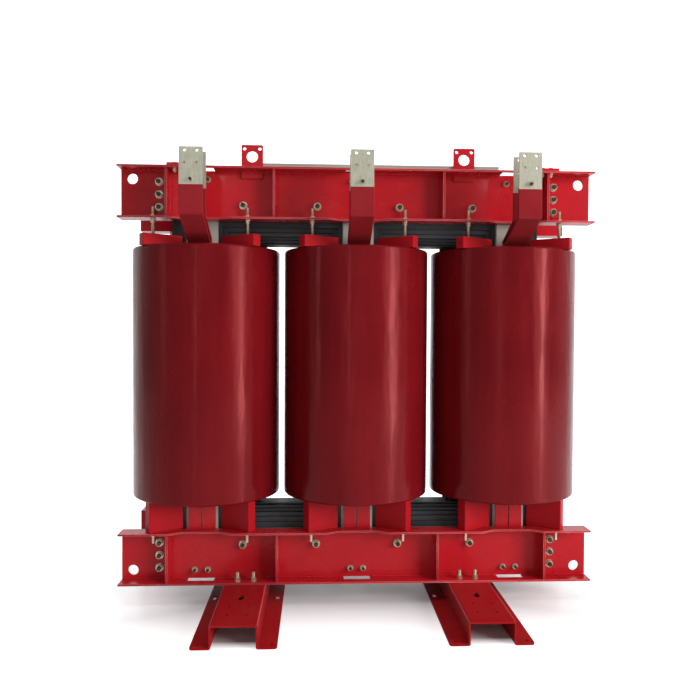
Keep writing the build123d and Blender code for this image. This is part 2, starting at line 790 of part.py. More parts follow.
def delta_link(low_phase, high_phase, gap, drop):
    """Round link from a winding's low terminal: down, across, up a riser, and in to a high terminal."""
    y = terminal_face + gap
    x0, x1 = phase_x(low_phase), phase_x(high_phase)
    low, high = terminal_heights()["low"], terminal_heights()["high"]
    riser, cross = x1 + link_riser_offset, coil_low - drop
    path = FilletPolyline((x0, y, low), (x0, y, cross), (riser, y, cross), (riser, y, high),
                          (x1, y, high), radius=link_bend)
    link = sweep(Plane(origin=path @ 0, z_dir=path % 0) * Circle(link_radius), path)
    return trimmed(link, [(x0, low), (x1, high)], y)


def terminal(x, z, gap):
    """Stud in a terminal boss, with the sleeve that sets the link's plane and its nut."""
    plane_y = terminal_face + gap
    half = link_eye_thickness / 2
    stud_end = plane_y + half + m16["plate"] + m16["nut"] + thread_tail
    stud = rod_y(x, z, m16["r"], terminal_face - 16, stud_end)
    stud += rod_y(x, z, m16["washer"], terminal_face, plane_y - half)
    return stud + nut_y(m16, x, z, plane_y + half, 1)


def terminals():
    heights = terminal_heights()
    far = {("a", "low"), ("c", "high")}
    pieces = []
    for name in phases:
        for level, z in heights.items():
            gap = link_far_gap if (name, level) in far else link_near_gap
            pieces.append(terminal(phase_x(name), z, gap))
    return group(pieces)


def tap_studs():
    """Six tap studs on each winding, nutted, with one link across the middle pair."""
    middle = (coil_low + coil_high) / 2
    seat = boss_face + tap_link_thickness
    pieces = []
    for name in phases:
        x0 = phase_x(name)
        link = block(x0 - tap_spacing_x / 2 - tap_link_width / 2, x0 + tap_spacing_x / 2 + tap_link_width / 2,
                     boss_face, seat, middle - tap_link_width / 2, middle + tap_link_width / 2)
        link = fillet(link.edges().filter_by(Axis.Y), tap_link_width / 2 - 1)
        for x, z in tap_places():
            level = seat if z == 0 else boss_face
            stud = rod_y(x0 + x, middle + z, m12["r"], boss_face - 12, level + m12["nut"] + 8)
            stud += nut_y(m12, x0 + x, middle + z, level, 1)
            if z == 0:
                link += stud
            else:
                pieces.append(stud)
        pieces.append(link)
    return group(pieces)


# ---------------------------------------------------------------- all nodes
def build_nodes():
    nodes = {}
    channel = base_channel()
    nodes["base_channel_left"] = Pos(-base_offset_x, 0, 0) * channel
    nodes["base_channel_right"] = Pos(base_offset_x, 0, 0) * channel

    for name, shape in (("lower_clamp", lower_beam()), ("upper_clamp", upper_beam())):
        nodes[name + "_rear"] = shape
        nodes[name + "_front"] = mirror(shape, Plane.XZ)
    lug = lifting_lug()
    for side, sign in sides.items():
        placed = lug if sign > 0 else mirror(lug, Plane.XZ)
        nodes["lifting_lugs_" + side] = group([Pos(s * lug_x, 0, 0) * placed for s in (-1, 1)])
        nodes["tie_plates_" + side] = tie_plates(sign)
        nodes["tie_plate_bolts_" + side] = tie_plate_bolts(sign)

    nodes["core_limbs"] = core_lower()
    nodes["core_upper_yoke"] = yoke(yoke_centre_high)
    nodes["limb_boards"] = limb_boards()
    nodes["yoke_boards"] = yoke_boards()

    hv, lv, wall = hv_winding(), lv_winding(), barrier()
    low_blocks, high_blocks = support_blocks(), pressure_blocks()
    front_bar = lv_bar(bar_root_front_y, bar_root_front_height, bar_front_y)
    rear_bar = lv_bar(bar_root_rear_y, bar_root_rear_height, bar_rear_y)
    for name in phases:
        place = Pos(phase_x(name), 0, 0)
        nodes["hv_winding_" + name] = place * hv
        nodes["lv_winding_" + name] = place * lv
        nodes["barrier_" + name] = place * wall
        nodes["support_blocks_" + name] = group([place * b for b in low_blocks])
        nodes["pressure_blocks_" + name] = group([place * b for b in high_blocks])
        nodes["pressure_screws_" + name] = pressure_screws(phase_x(name))
        nodes["lv_bar_outer_" + name] = place * front_bar
        nodes["lv_bar_inner_" + name] = place * rear_bar
    nodes["lv_bar_ties"] = bar_ties()
    nodes["block_bolts"] = block_bolts()

    nodes["yoke_bolts_lower"] = window_bolts(yoke_centre_low)
    nodes["yoke_bolts_upper"] = window_bolts(yoke_centre_high)
    nodes["end_bolts_lower"] = end_bolts(beam_low, 1)
    nodes["end_bolts_upper"] = end_bolts(beam_high_top, -1)
    nodes["foot_bolts"] = foot_bolts()

    nodes["top_strip"] = top_strip()
    brace = cross_brace()
    for end, brace_x in brace_xs.items():
        nodes["cross_brace_" + end] = Pos(brace_x, 0, 0) * brace
    nodes["brace_bolts"] = brace_bolts()

    nodes["delta_link_ab"] = delta_link("b", "a", link_near_gap, link_drop_near)
    nodes["delta_link_bc"] = delta_link("c", "b", link_near_gap, link_drop_near)
    nodes["delta_link_ca"] = delta_link("a", "c", link_far_gap, link_drop_far)
    nodes["hv_terminals"] = terminals()
    nodes["tap_studs"] = tap_studs()
    return nodes


def main():
    os.makedirs("parts", exist_ok=True)
    for name, shape in build_nodes().items():
        export_step(shape, os.path.join("parts", name + ".step"))


main()
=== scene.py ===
import bpy
import math
import json
import numpy as np
from mathutils import Matrix, Vector


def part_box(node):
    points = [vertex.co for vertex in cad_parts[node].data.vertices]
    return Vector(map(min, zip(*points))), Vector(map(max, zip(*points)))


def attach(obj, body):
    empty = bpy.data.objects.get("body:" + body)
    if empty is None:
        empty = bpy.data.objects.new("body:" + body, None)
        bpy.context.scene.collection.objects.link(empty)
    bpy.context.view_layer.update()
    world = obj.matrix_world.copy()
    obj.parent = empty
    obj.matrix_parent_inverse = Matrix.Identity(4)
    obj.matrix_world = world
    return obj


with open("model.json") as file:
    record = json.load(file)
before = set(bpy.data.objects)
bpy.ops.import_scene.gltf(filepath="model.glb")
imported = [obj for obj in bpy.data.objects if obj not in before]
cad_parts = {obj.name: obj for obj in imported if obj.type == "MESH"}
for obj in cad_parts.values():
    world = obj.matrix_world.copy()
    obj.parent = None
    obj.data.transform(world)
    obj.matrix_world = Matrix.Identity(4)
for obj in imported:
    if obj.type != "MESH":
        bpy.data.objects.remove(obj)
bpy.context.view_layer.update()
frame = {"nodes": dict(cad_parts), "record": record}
nodes = frame["nodes"]
SIDES = (("front", -1), ("rear", 1))
PHASES = {name: float(np.mean([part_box("lv_winding_" + name)[i][0] for i in (0, 1)])) for name in "abc"}


# ------------------------------------------------------------------ node helpers
def link(tree, source, target):
    tree.links.new(source, target)


def new_group(name, inputs, outputs):
    """Shader node group with named float or colour sockets; returns the group, its in and out nodes."""
    group = bpy.data.node_groups.new(name, "ShaderNodeTree")
    for title, kind, value in inputs:
        socket = group.interface.new_socket(name=title, in_out="INPUT", socket_type=kind)
        socket.default_value = value
    for title, kind in outputs:
        group.interface.new_socket(name=title, in_out="OUTPUT", socket_type=kind)
    entry = group.nodes.new("NodeGroupInput")
    leave = group.nodes.new("NodeGroupOutput")
    return group, entry, leave


def add(tree, kind, **settings):
    node = tree.nodes.new(kind)
    for key, value in settings.items():
        setattr(node, key, value)
    return node


def maths(tree, operation, a, b=None, clamp=False):
    """One math node; a and b are sockets or plain numbers."""
    node = add(tree, "ShaderNodeMath", operation=operation, use_clamp=clamp)
    for index, value in enumerate((a, b)):
        if value is None:
            continue
        if isinstance(value, (int, float)):
            node.inputs[index].default_value = value
        else:
            link(tree, value, node.inputs[index])
    return node.outputs[0]


def mix_colour(tree, factor, a, b):
    """Blend of two colours; factor, a and b are sockets or plain values."""
    node = add(tree, "ShaderNodeMix", data_type="RGBA")
    for socket, value in ((node.inputs[0], factor), (node.inputs[6], a), (node.inputs[7], b)):
        if isinstance(value, (int, float, tuple)):
            socket.default_value = value
        else:
            link(tree, value, socket)
    return node.outputs[2]


def stretched_noise(tree, scale, stretch, detail=3.0, rough=0.55):
    """Noise on Object coordinates, scaled per axis by stretch."""
    place = add(tree, "ShaderNodeTexCoord")
    mapping = add(tree, "ShaderNodeMapping")
    mapping.inputs["Scale"].default_value = stretch
    link(tree, place.outputs["Object"], mapping.inputs["Vector"])
    noise = add(tree, "ShaderNodeTexNoise")
    noise.inputs["Scale"].default_value = scale
    noise.inputs["Detail"].default_value = detail
    noise.inputs["Roughness"].default_value = rough
    link(tree, mapping.outputs["Vector"], noise.inputs["Vector"])
    return noise.outputs["Fac"]


def ramp(tree, value, low, high):
    """Value stretched from low..high to 0..1, clamped."""
    node = add(tree, "ShaderNodeMapRange")
    node.inputs["From Min"].default_value = low
    node.inputs["From Max"].default_value = high
    link(tree, value, node.inputs["Value"])
    return node.outputs["Result"]


# ------------------------------------------------------------------ shared effects
FLOAT, COLOUR = "NodeSocketFloat", "NodeSocketColor"
SURFACE = [("Colour", COLOUR), ("Roughness", FLOAT), ("Height", FLOAT)]
BLACK = (0.0, 0.0, 0.0, 1)


def coat_group():
    """Sprayed paint: slow shade drift, dust, scuffs and a fine orange-peel height."""
    group, entry, leave = new_group(
        "sprayed_coat",
        [("Colour", COLOUR, (0.5, 0.02, 0.03, 1)), ("Dust Colour", COLOUR, (0.6, 0.3, 0.3, 1)),
         ("Dust", FLOAT, 0.2), ("Gloss Drift", FLOAT, 0.1), ("Roughness", FLOAT, 0.25)], SURFACE)
    drift = stretched_noise(group, 2.2, (1, 1, 1), 4.0)
    shade = ramp(group, drift, 0.3, 0.7)
    darker = mix_colour(group, 0.22, entry.outputs["Colour"], BLACK)
    toned = mix_colour(group, shade, darker, entry.outputs["Colour"])
    specks = ramp(group, stretched_noise(group, 60.0, (1, 1, 1), 5.0, 0.7), 0.52, 0.8)
    cloud = ramp(group, stretched_noise(group, 5.0, (1, 1, 1), 5.0, 0.65), 0.45, 0.85)
    dust = maths(group, "MULTIPLY", maths(group, "ADD", specks, cloud), entry.outputs["Dust"], True)
    dusty = mix_colour(group, dust, toned, entry.outputs["Dust Colour"])
    link(group, dusty, leave.inputs["Colour"])
    wander = maths(group, "MULTIPLY", shade, entry.outputs["Gloss Drift"])
    rough = maths(group, "ADD", maths(group, "ADD", entry.outputs["Roughness"], wander),
                  maths(group, "MULTIPLY", dust, 0.5), True)
    link(group, rough, leave.inputs["Roughness"])
    peel = stretched_noise(group, 210.0, (1, 1, 1), 2.0)
    wave = stretched_noise(group, 9.0, (1, 1, 1), 1.0)
    link(group, maths(group, "ADD", maths(group, "MULTIPLY", peel, 0.12), wave), leave.inputs["Height"])
    return group


def casting_group():
    """Cast resin: faint upright flow streaks, a mottled depth and long soft waves from the mould."""
    group, entry, leave = new_group(
        "cast_resin",
        [("Colour", COLOUR, (0.18, 0.01, 0.015, 1)), ("Streak Colour", COLOUR, (0.3, 0.03, 0.03, 1)),
         ("Streaks", FLOAT, 0.3), ("Roughness", FLOAT, 0.2)], SURFACE)
    streak = ramp(group, stretched_noise(group, 9.0, (1, 1, 0.06), 5.0, 0.6), 0.35, 0.72)
    mottle = ramp(group, stretched_noise(group, 3.0, (1, 1, 0.7), 4.0, 0.6), 0.3, 0.7)
    part = maths(group, "MULTIPLY", streak, entry.outputs["Streaks"])
    body = mix_colour(group, part, entry.outputs["Colour"], entry.outputs["Streak Colour"])
    deep = mix_colour(group, 0.25, body, BLACK)
    link(group, mix_colour(group, mottle, deep, body), leave.inputs["Colour"])
    dull = ramp(group, stretched_noise(group, 5.0, (1, 1, 0.5), 5.0, 0.6), 0.42, 0.66)
    haze = maths(group, "ADD", maths(group, "MULTIPLY", maths(group, "ADD", streak, mottle), 0.04),
                 maths(group, "MULTIPLY", dull, 0.16))
    link(group, maths(group, "ADD", entry.outputs["Roughness"], haze, True), leave.inputs["Roughness"])
    long_wave = stretched_noise(group, 4.0, (1, 1, 0.12), 1.0)
    short_wave = stretched_noise(group, 11.0, (1, 1, 0.22), 2.0)
    grain = stretched_noise(group, 90.0, (1, 1, 1), 2.0)
    waves = maths(group, "ADD", long_wave, maths(group, "MULTIPLY", short_wave, 0.3))
    link(group, maths(group, "ADD", waves, maths(group, "MULTIPLY", grain, 0.015)), leave.inputs["Height"])
    return group


def sheet_group():
    """Sheet edges of the core: fine lines stacked along Y, uneven in tone and in height."""
    group, entry, leave = new_group(
        "stacked_sheets",
        [("Colour", COLOUR, (0.012, 0.012, 0.014, 1)), ("Edge Colour", COLOUR, (0.05, 0.05, 0.055, 1)),
         ("Roughness", FLOAT, 0.45)], SURFACE)
    fine = stretched_noise(group, 1.0, (1.2, 700.0, 1.2), 2.0)
    coarse = stretched_noise(group, 1.0, (0.8, 160.0, 0.8), 3.0)
    lines = maths(group, "ADD", maths(group, "MULTIPLY", fine, 0.6), maths(group, "MULTIPLY", coarse, 0.5))
    tone = ramp(group, lines, 0.4, 0.75)
    lined = mix_colour(group, tone, entry.outputs["Colour"], entry.outputs["Edge Colour"])
    link(group, lined, leave.inputs["Colour"])
    link(group, maths(group, "ADD", entry.outputs["Roughness"], maths(group, "MULTIPLY", tone, 0.15)),
         leave.inputs["Roughness"])
    link(group, lines, leave.inputs["Height"])
    return group


def metal_group():
    """Bare or plated metal: brushed lines along one axis, blotches of tint and dull spots."""
    group, entry, leave = new_group(
        "plain_metal",
        [("Colour", COLOUR, (0.5, 0.5, 0.45, 1)), ("Tint", COLOUR, (0.5, 0.45, 0.3, 1)),
         ("Tint Amount", FLOAT, 0.4), ("Roughness", FLOAT, 0.35)], SURFACE)
    blotch = ramp(group, stretched_noise(group, 30.0, (1, 1, 1), 5.0, 0.65), 0.35, 0.7)
    brush = stretched_noise(group, 1.0, (400.0, 400.0, 14.0), 2.0)
    factor = maths(group, "MULTIPLY", blotch, entry.outputs["Tint Amount"])
    tinted = mix_colour(group, factor, entry.outputs["Colour"], entry.outputs["Tint"])
    shaded = mix_colour(group, 0.3, tinted, (0.02, 0.02, 0.02, 1))
    link(group, mix_colour(group, ramp(group, brush, 0.25, 0.6), shaded, tinted), leave.inputs["Colour"])
    link(group, maths(group, "ADD", entry.outputs["Roughness"], maths(group, "MULTIPLY", blotch, 0.18)),
         leave.inputs["Roughness"])
    link(group, maths(group, "ADD", brush, maths(group, "MULTIPLY", blotch, 0.3)), leave.inputs["Height"])
    return group


SPRAYED, CAST, SHEETS, METAL = coat_group(), casting_group(), sheet_group(), metal_group()


def finish_with(name, group, values, bump=0.0, distance=0.001, **plain):
    """Material: one effect group feeding a Principled shader, with plain values on its own sockets."""
    material = bpy.data.materials.new(name)
    material.use_nodes = True
    tree = material.node_tree
    shader = tree.nodes["Principled BSDF"]
    effect = tree.nodes.new("ShaderNodeGroup")
    effect.node_tree = group
    for key, value in values.items():
        effect.inputs[key].default_value = value
    link(tree, effect.outputs["Colour"], shader.inputs["Base Color"])
    link(tree, effect.outputs["Roughness"], shader.inputs["Roughness"])
    if bump:
        node = add(tree, "ShaderNodeBump")
        node.inputs["Strength"].default_value = bump
        node.inputs["Distance"].default_value = distance
        link(tree, effect.outputs["Height"], node.inputs["Height"])
        link(tree, node.outputs["Normal"], shader.inputs["Normal"])
    for key, value in plain.items():
        shader.inputs[key.replace("_", " ").title().replace("Ior", "IOR")].default_value = value
    return material


def colour(r, g, b):
    return (r, g, b, 1.0)


materials = {
    "frame_paint": finish_with(
        "frame_paint", SPRAYED,
        {"Colour": colour(0.56, 0.011, 0.019), "Dust Colour": colour(0.50, 0.15, 0.15), "Dust": 0.08,
         "Gloss Drift": 0.10, "Roughness": 0.22}, bump=0.16, distance=0.004,
        coat_weight=0.12, coat_roughness=0.08,
        specular_ior_level=0.34, specular_tint=colour(1.0, 0.36, 0.36)),
    # painted highlight: a lighter, pinker red than the frame paint, for the beads along the frame's edges
    "edge_paint": finish_with(
        "edge_paint", SPRAYED,
        {"Colour": colour(0.66, 0.10, 0.11), "Dust Colour": colour(0.7, 0.3, 0.3), "Dust": 0.1,
         "Gloss Drift": 0.1, "Roughness": 0.14}, coat_weight=0.6, coat_roughness=0.05),
    # painted shade: the base channels' darker copy of the frame paint; its brown dust is dust
    "shaded_base_paint": finish_with(
        "shaded_base_paint", SPRAYED,
        {"Colour": colour(0.42, 0.010, 0.014), "Dust Colour": colour(0.28, 0.13, 0.11), "Dust": 0.12,
         "Gloss Drift": 0.12, "Roughness": 0.42}, bump=0.16, distance=0.004,
        specular_ior_level=0.12, specular_tint=colour(1.0, 0.4, 0.4)),
    "core_paint": finish_with(
        "core_paint", SHEETS,
        {"Colour": colour(0.006, 0.006, 0.007), "Edge Colour": colour(0.085, 0.09, 0.098),
         "Roughness": 0.45}, bump=0.8, distance=0.0015),
    "winding_resin": finish_with(
        "winding_resin", CAST,
        {"Colour": colour(0.155, 0.004, 0.007), "Streak Colour": colour(0.245, 0.010, 0.014), "Streaks": 0.6,
         "Roughness": 0.13}, bump=0.7, distance=0.018, coat_weight=0.04, coat_roughness=0.1,
        specular_ior_level=0.4, specular_tint=colour(1.0, 0.2, 0.2)),
    "inner_resin": finish_with(
        "inner_resin", CAST,
        {"Colour": colour(0.12, 0.02, 0.015), "Streak Colour": colour(0.30, 0.08, 0.04), "Streaks": 0.5,
         "Roughness": 0.4}, bump=0.3, distance=0.002),
    "barrier_film": finish_with(
        "barrier_film", CAST,
        {"Colour": colour(0.50, 0.36, 0.17), "Streak Colour": colour(0.62, 0.50, 0.28), "Streaks": 0.5,
         "Roughness": 0.4}, bump=0.1, distance=0.001),
    "block_resin": finish_with(
        "block_resin", SPRAYED,
        {"Colour": colour(0.50, 0.010, 0.017), "Dust Colour": colour(0.46, 0.12, 0.11), "Dust": 0.06,
         "Gloss Drift": 0.14, "Roughness": 0.34}, bump=0.2, distance=0.003,
        specular_ior_level=0.22, specular_tint=colour(1.0, 0.4, 0.4)),
    "board": finish_with(
        "board", SPRAYED,
        {"Colour": colour(0.50, 0.49, 0.43), "Dust Colour": colour(0.30, 0.28, 0.20), "Dust": 0.3,
         "Gloss Drift": 0.05, "Roughness": 0.6}, bump=0.2, distance=0.002),
    "bar_metal": finish_with(
        "bar_metal", METAL,
        {"Colour": colour(0.62, 0.60, 0.47), "Tint": colour(0.46, 0.45, 0.35), "Tint Amount": 0.5,
         "Roughness": 0.42}, bump=0.1, distance=0.0006, metallic=0.6),
    "zinc": finish_with(
        "zinc", METAL,
        {"Colour": colour(0.76, 0.69, 0.53), "Tint": colour(0.46, 0.36, 0.20), "Tint Amount": 0.55,
         "Roughness": 0.3}, bump=0.12, distance=0.0005, metallic=0.85),
    # painted shade: near-black threads on the level studs' ends, the dark centre of each nut
    "thread_steel": finish_with(
        "thread_steel", METAL,
        {"Colour": colour(0.09, 0.075, 0.05), "Tint": colour(0.03, 0.025, 0.02), "Tint Amount": 0.7,
         "Roughness": 0.42}, bump=0.12, distance=0.0005, metallic=0.8),
    "duct_plastic": finish_with(
        "duct_plastic", SPRAYED,
        {"Colour": colour(0.46, 0.44, 0.39), "Dust Colour": colour(0.30, 0.27, 0.22), "Dust": 0.25,
         "Gloss Drift": 0.05, "Roughness": 0.5}, bump=0.1, distance=0.002),
    "link_sleeve": finish_with(
        "link_sleeve", SPRAYED,
        {"Colour": colour(0.30, 0.012, 0.018), "Dust Colour": colour(0.46, 0.14, 0.13), "Dust": 0.08,
         "Gloss Drift": 0.12, "Roughness": 0.34}, bump=0.3, distance=0.003,
        specular_ior_level=0.3, specular_tint=colour(1.0, 0.5, 0.5)),
    "stud_brass": finish_with(
        "stud_brass", METAL,
        {"Colour": colour(0.62, 0.43, 0.16), "Tint": colour(0.38, 0.22, 0.08), "Tint Amount": 0.5,
         "Roughness": 0.3}, bump=0.08, distance=0.0005, metallic=0.95),
}

# every CAD node takes the finish of its slot, but the base channels take a darker copy of the frame paint,
# which is painted shade
slot_of = {part["node"]: part["material_slot"] for part in frame["record"]["subparts"]}
for name, obj in nodes.items():
    obj.data.materials.clear()
    obj.data.materials.append(materials["shaded_base_paint" if name.startswith("base_channel") else slot_of[name]])


# ------------------------------------------------------------------ meshes from arrays
def new_piece(name, points, faces, material, slot, smooth=True):
    """Mesh object from arrays of points and faces, in the given material; it rides on the transformer. The
    slot argument is not used.
    """
    mesh = bpy.data.meshes.new(name)
    mesh.from_pydata(np.asarray(points, float).tolist(), [], faces)
    mesh.materials.append(materials[material])
    mesh.polygons.foreach_set("use_smooth", np.full(len(mesh.polygons), smooth))
    mesh.update()
    obj = bpy.data.objects.new(name, mesh)
    bpy.context.scene.collection.objects.link(obj)
    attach(obj, "root")
    return obj


def grid_faces(rows, columns, closed=True, start=0):
    """Quads of a rows by columns grid of points; closed joins the last column to the first."""
    i, j = np.meshgrid(np.arange(rows - 1), np.arange(columns if closed else columns - 1), indexing="ij")
    k = (j + 1) % columns
    quads = np.stack([i * columns + j, i * columns + k, (i + 1) * columns + k, (i + 1) * columns + j], -1)
    return (quads.reshape(-1, 4) + start).tolist()


def merge(parts):
    """Several (points, faces) pairs as one pair."""
    points, faces, count = [], [], 0
    for part_points, part_faces in parts:
        points.append(part_points)
        faces += [tuple(i + count for i in face) for face in part_faces]
        count += len(part_points)
    return np.concatenate(points), faces


def closed_tube(rings):
    """Rings of points as an (n, m, 3) array: quads between neighbours, and a flat cap at each end."""
    n, m = rings.shape[:2]
    faces = grid_faces(n, m)
    faces.append(tuple(range(m))[::-1])
    faces.append(tuple(range((n - 1) * m, n * m)))
    return rings.reshape(-1, 3), faces


# ------------------------------------------------------------------ insulating sleeves on the bars
COIL_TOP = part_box("hv_winding_a")[1][2]
SLOPE = math.radians(23)
SLEEVE = 0.0015  # wall
SLEEVE_TOP = 1.938
BAR_HALF = 0.005
CORNER = 0.003
# straight run of each bar above the winding, before its first bend
BARS = {"outer": 0.014, "inner": 0.034}


def bar_sleeve(name, straight):
    """Sleeve on a cranked bar: a rounded rectangle carried up, out along the slope and up again.

    A ring of the path is centre + x across + normal out, where the normal turns from level to the
    slope's own in equal steps about the inside corner of each bend, so the outside is an arc.
    """
    low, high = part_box(name)
    x = (low[0] + high[0]) / 2
    wide = (high[0] - low[0]) / 2 + SLEEVE
    thick = BAR_HALF + SLEEVE
    root, top = high[1] - BAR_HALF, low[1] + BAR_HALF
    knee = COIL_TOP + straight
    rise = (root - top) * math.tan(SLOPE)
    turn = math.pi / 2 - SLOPE
    steps = np.linspace(0, turn, 7)
    reach = thick / math.cos(turn / 2)
    bend_low = np.array([root, knee]) + reach * np.array([-math.cos(turn / 2), -math.sin(turn / 2)])
    bend_high = np.array([top, knee + rise]) + reach * np.array([math.cos(turn / 2), math.sin(turn / 2)])
    outward = np.stack([np.cos(steps), np.sin(steps)], -1)
    low_arc = bend_low + thick * outward
    high_arc = bend_high - thick * outward[::-1]
    centres = np.concatenate([[[root, COIL_TOP + 0.001]], low_arc, high_arc, [[top, SLEEVE_TOP]]])
    normals = np.concatenate([[[1.0, 0.0]], outward, outward[::-1], [[1.0, 0.0]]])
    angle = np.linspace(0, 2 * math.pi, 24, endpoint=False) + math.pi / 24
    across = np.sign(np.cos(angle)) * (wide - CORNER) + CORNER * np.cos(angle)
    through = np.sign(np.sin(angle)) * (thick - CORNER) + CORNER * np.sin(angle)
    rings = np.empty((len(centres), len(angle), 3))
    rings[..., 0] = x + across
    rings[..., 1] = centres[:, None, 0] + through * normals[:, None, 0]
    rings[..., 2] = centres[:, None, 1] + through * normals[:, None, 1]
    return closed_tube(rings[:, ::-1])


for phase in PHASES:
    for place, straight in BARS.items():
        points, faces = bar_sleeve("lv_bar_" + place + "_" + phase, straight)
        new_piece("bar_sleeve_" + place + "_" + phase, points, faces, "link_sleeve", "link_sleeve", False)


# ------------------------------------------------------------------ weld seams
def bead(start, end, first, second, size, pitch=0.006):
    """Fillet weld from start to end: a quarter round between two directions, its radius rippled
    as size times 1 + 0.12 sin of the run over the pitch, with flat closed ends."""
    start, end, first, second = (np.array(v, float) for v in (start, end, first, second))
    count = max(4, int(np.linalg.norm(end - start) / pitch * 3))
    run = np.linspace(0, 1, count)
    radius = size * (1 + 0.12 * np.sin(run * count * 2.1) + 0.05 * np.sin(run * count * 0.37))
    radius[[0, -1]] *= 0.4
    theta = np.linspace(0, math.pi / 2, 5)
    arc = np.cos(theta)[:, None] * first + np.sin(theta)[:, None] * second
    section = np.concatenate([arc, [-0.1 * (first + second)]])
    rings = (start + run[:, None] * (end - start))[:, None, :] + radius[:, None, None] * section
    if np.dot(np.cross(first, second), end - start) < 0:
        rings = rings[:, ::-1]
    return closed_tube(rings)


# ribs of each beam, counted from the middle; flange thickness and reach, rib thickness and corner clip
RIB_PLACES = {"lower_clamp": (0.903, 0.384), "upper_clamp": (0.903, 0.402)}
FLANGE, REACH, RIB, CLIP = 0.008, 0.082, 0.008, 0.016
SLOT_HALF = 0.068
LUG_WIDTH = 0.102
RIB_WELD, RIB_TO_FLANGE_WELD, LONG_WELD, LUG_WELD = 0.005, 0.0045, 0.006, 0.005
LONG_RIPPLE = 0.012


def beam_faces(beam, side, facing):
    """Box corners of a clamp beam, and the y of its web's outer face and of its flanges' lip."""
    low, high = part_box(beam + "_" + side)
    if facing < 0:
        return low, high, low[1] + REACH, low[1]
    return low, high, high[1] - REACH, high[1]


for beam, xs in RIB_PLACES.items():
    for side, facing in SIDES:
        low, high, web, lip = beam_faces(beam, side, facing)
        z0, z1 = low[2] + FLANGE, high[2] - FLANGE
        seams = []
        for x in [sign * value for value in xs for sign in (-1, 1)]:
            for sx in (-1, 1):
                edge = x + sx * RIB / 2
                seams.append(bead((edge, web, z0 + CLIP), (edge, web, z1 - CLIP),
                                  (sx, 0, 0), (0, facing, 0), RIB_WELD))
                for z, sz in ((z0, 1), (z1, -1)):
                    seams.append(bead((edge, web + facing * CLIP, z), (edge, lip - facing * 0.008, z),
                                      (sx, 0, 0), (0, 0, sz), RIB_TO_FLANGE_WELD))
        ends = [low[0] + 0.004, high[0] - 0.004]
        outer = sorted(ends + [x + sign * SLOT_HALF for x in PHASES.values() for sign in (-1, 1)])
        for z, sz, is_high in ((z0, 1, False), (z1, -1, True)):
            stops = ends if is_high == beam.startswith("lower") else outer
            for x_start, x_end in zip(stops[::2], stops[1::2]):
                seams.append(bead((x_start, web, z), (x_end, web, z),
                                  (0, 0, sz), (0, facing, 0), LONG_WELD, LONG_RIPPLE))
        new_piece(beam + "_welds_" + side, *merge(seams), "frame_paint", "frame_paint")

for side, facing in SIDES:
    low, high, web, lip = beam_faces("upper_clamp", side, facing)
    lug_low, lug_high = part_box("lifting_lugs_" + side)
    seams = []
    for sign in (-1, 1):
        x0, x1 = sorted((sign * lug_high[0], sign * (lug_high[0] - LUG_WIDTH)))
        seams.append(bead((x0, web, lug_low[2]), (x1, web, lug_low[2]),
                          (0, 0, -1), (0, facing, 0), LUG_WELD))
        for x, sx in ((x0, -1), (x1, 1)):
            seams.append(bead((x, web, lug_low[2]), (x, web, high[2] - FLANGE),
                          (sx, 0, 0), (0, facing, 0), LUG_WELD))
    new_piece("lug_welds_" + side, *merge(seams), "frame_paint", "frame_paint")


# ------------------------------------------------------------------ rounded paint edges of the frame, in a lighter red that is a painted highlight
def edge_line(start, end, radius=0.0016):
    """Thin round bead along an edge: a circle of eight points at each end."""
    start, end = np.array(start, float), np.array(end, float)
    along = (end - start) / np.linalg.norm(end - start)
    side = np.cross(along, (0.0, 0.0, 1.0) if abs(along[2]) < 0.5 else (0.0, 1.0, 0.0))
    side /= np.linalg.norm(side)
    over = np.cross(along, side)
    angle = np.linspace(0, 2 * math.pi, 8, endpoint=False)
    circle = radius * (np.cos(angle)[:, None] * side + np.sin(angle)[:, None] * over)
    return closed_tube(np.stack([start + circle, end + circle]))


# flange recess at each phase: half of its floor, run of its slope and depth
RECESS_HALF, RECESS_FLARE, RECESS_DEPTH = 0.092, 0.055, 0.034


def lip_line(x0, x1, lip, facing, z, recessed, radius=0.0014):
    """Bead along a flange's lip: a circle in the YZ plane carried from x0 to x1, and where the flange
    is recessed, back along each phase's trapezoid and out again."""
    path = [(x0, lip)]
    if recessed:
        for x in sorted(PHASES.values()):
            path += [(x - RECESS_HALF - RECESS_FLARE, lip), (x - RECESS_HALF, lip - facing * RECESS_DEPTH),
                     (x + RECESS_HALF, lip - facing * RECESS_DEPTH), (x + RECESS_HALF + RECESS_FLARE, lip)]
    path = np.array(path + [(x1, lip)])
    angle = np.linspace(0, 2 * math.pi, 8, endpoint=False)
    rings = np.empty((len(path), len(angle), 3))
    rings[..., 0] = path[:, 0, None]
    rings[..., 1] = path[:, 1, None] + radius * np.cos(angle)
    rings[..., 2] = z + radius * np.sin(angle)
    return closed_tube(rings)


for beam, xs in RIB_PLACES.items():
    for side, facing in SIDES:
        low, high, web, lip = beam_faces(beam, side, facing)
        inner_is_high = beam.startswith("lower")
        lines = [lip_line(low[0] + 0.002, high[0] - 0.002, lip, facing, z, is_high == inner_is_high)
                 for z, is_high in ((low[2] + 0.0014, False), (low[2] + FLANGE, False),
                                    (high[2] - FLANGE, True), (high[2] - 0.0014, True))]
        rib_lip = lip - facing * 0.006
        rib_edges = [sign * x + sx * RIB / 2 for x in xs for sign in (-1, 1) for sx in (-1, 1)]
        lines += [edge_line((x, rib_lip, low[2] + FLANGE), (x, rib_lip, high[2] - FLANGE))
                  for x in rib_edges]
        new_piece(beam + "_edges_" + side, *merge(lines), "edge_paint", "frame_paint")

